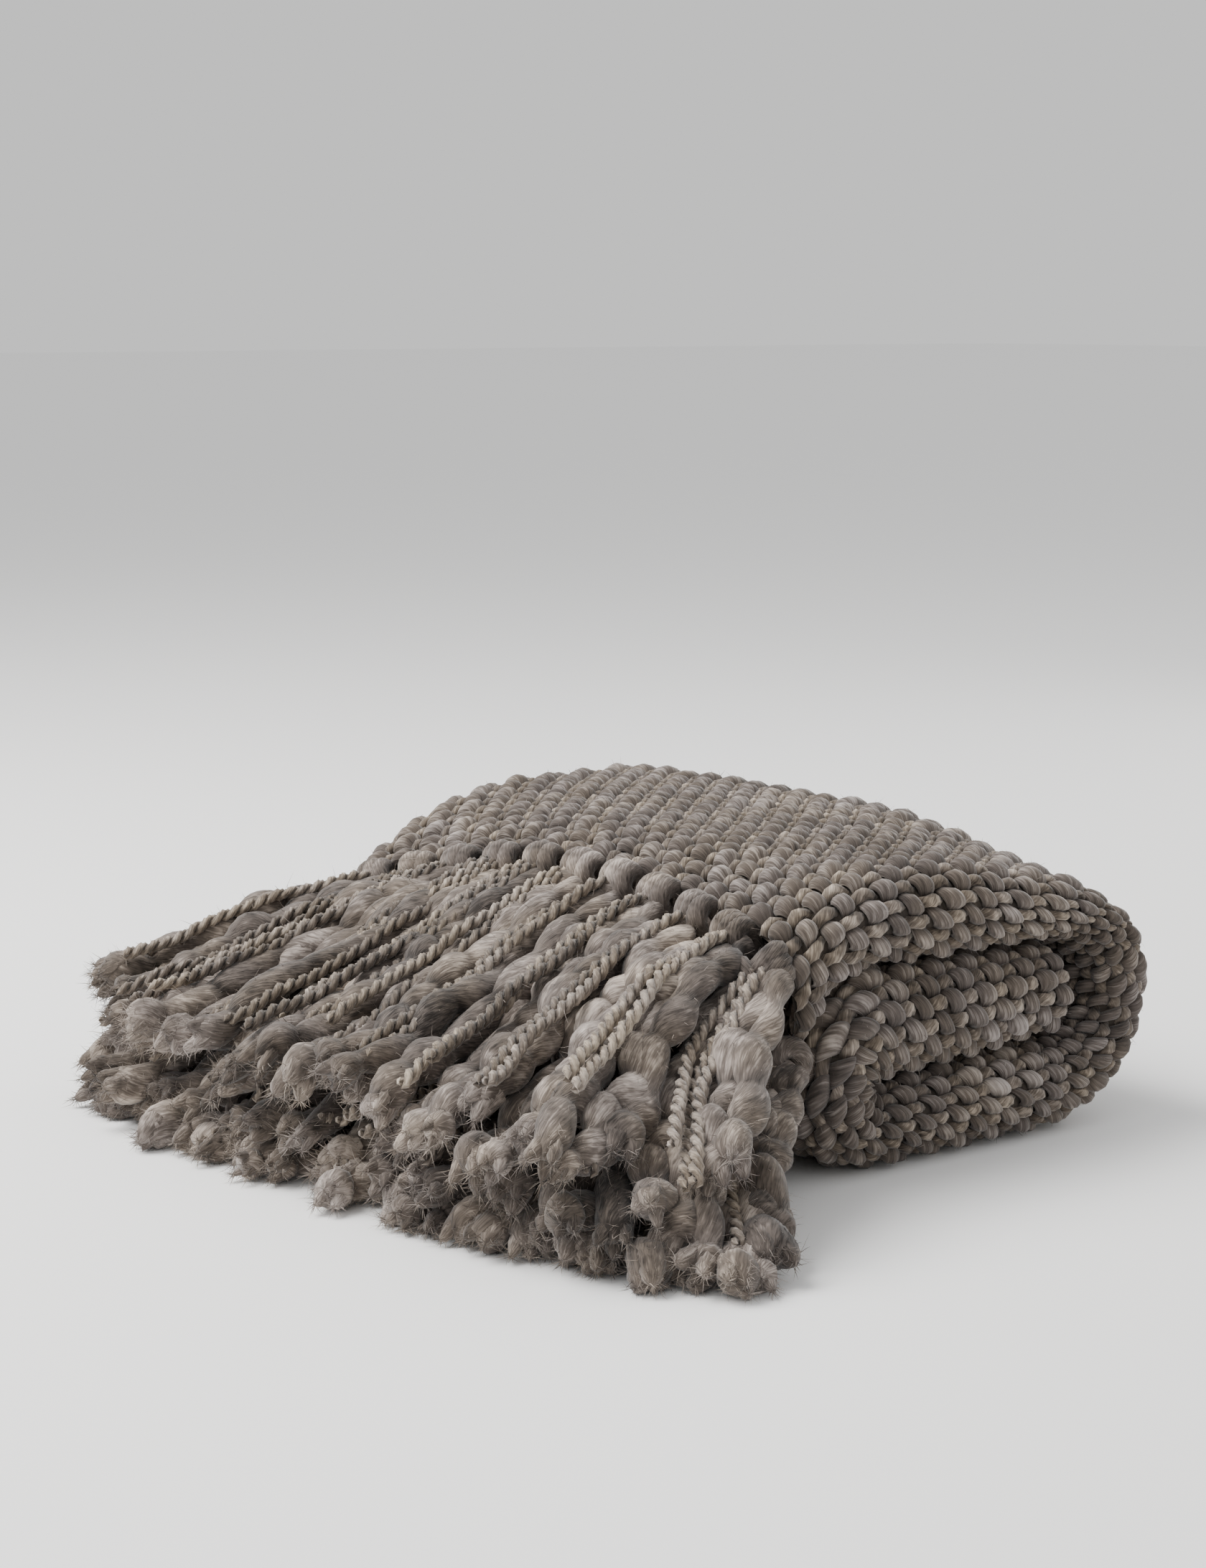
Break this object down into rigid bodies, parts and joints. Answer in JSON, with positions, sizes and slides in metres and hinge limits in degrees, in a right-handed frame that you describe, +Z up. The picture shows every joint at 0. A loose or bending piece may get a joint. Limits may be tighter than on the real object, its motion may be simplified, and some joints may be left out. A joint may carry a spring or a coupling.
{
  "type": "folded throw blanket",
  "caption": "Handwoven throw in chunky yarn, folded in thirds and rolled into a soft stack, with knotted tassels fanning out from its hanging end.",
  "frame": {"origin": "middle of the folded stack on the surface that it lies on", "axes": "+Z up, +X from the fringed end towards the big right fold, -Y towards the side where the folds show"},
  "size_m": [0.5059, 0.5727, 0.17],
  "materials": {
    "woven_cloth": "matt heathered taupe wool, chunky plain weave",
    "fringe_yarn": "matt heathered taupe wool, plied cord and soft roving"
  },
  "bodies": {
    "root": {"cloth": "woven_cloth", "tassel_middle_01": "fringe_yarn", "tassel_middle_02": "fringe_yarn", "tassel_middle_03": "fringe_yarn", "tassel_middle_04": "fringe_yarn", "tassel_middle_05": "fringe_yarn", "tassel_middle_06": "fringe_yarn", "tassel_middle_07": "fringe_yarn", "tassel_middle_08": "fringe_yarn", "tassel_middle_09": "fringe_yarn", "tassel_middle_10": "fringe_yarn", "tassel_outer_11": "fringe_yarn", "tassel_outer_12": "fringe_yarn", "tassel_outer_13": "fringe_yarn", "tassel_outer_14": "fringe_yarn", "tassel_outer_15": "fringe_yarn", "tassel_outer_16": "fringe_yarn", "tassel_outer_17": "fringe_yarn", "tassel_outer_18": "fringe_yarn", "tassel_outer_19": "fringe_yarn", "tassel_outer_20": "fringe_yarn", "tassel_middle_21": "fringe_yarn", "tassel_inner_22": "fringe_yarn", "tassel_inner_23": "fringe_yarn", "tassel_inner_24": "fringe_yarn", "tassel_inner_25": "fringe_yarn", "tassel_inner_26": "fringe_yarn", "tassel_inner_27": "fringe_yarn", "tassel_inner_28": "fringe_yarn", "tassel_inner_29": "fringe_yarn", "tassel_inner_30": "fringe_yarn", "tassel_inner_31": "fringe_yarn"}
  },
  "joints": []
}
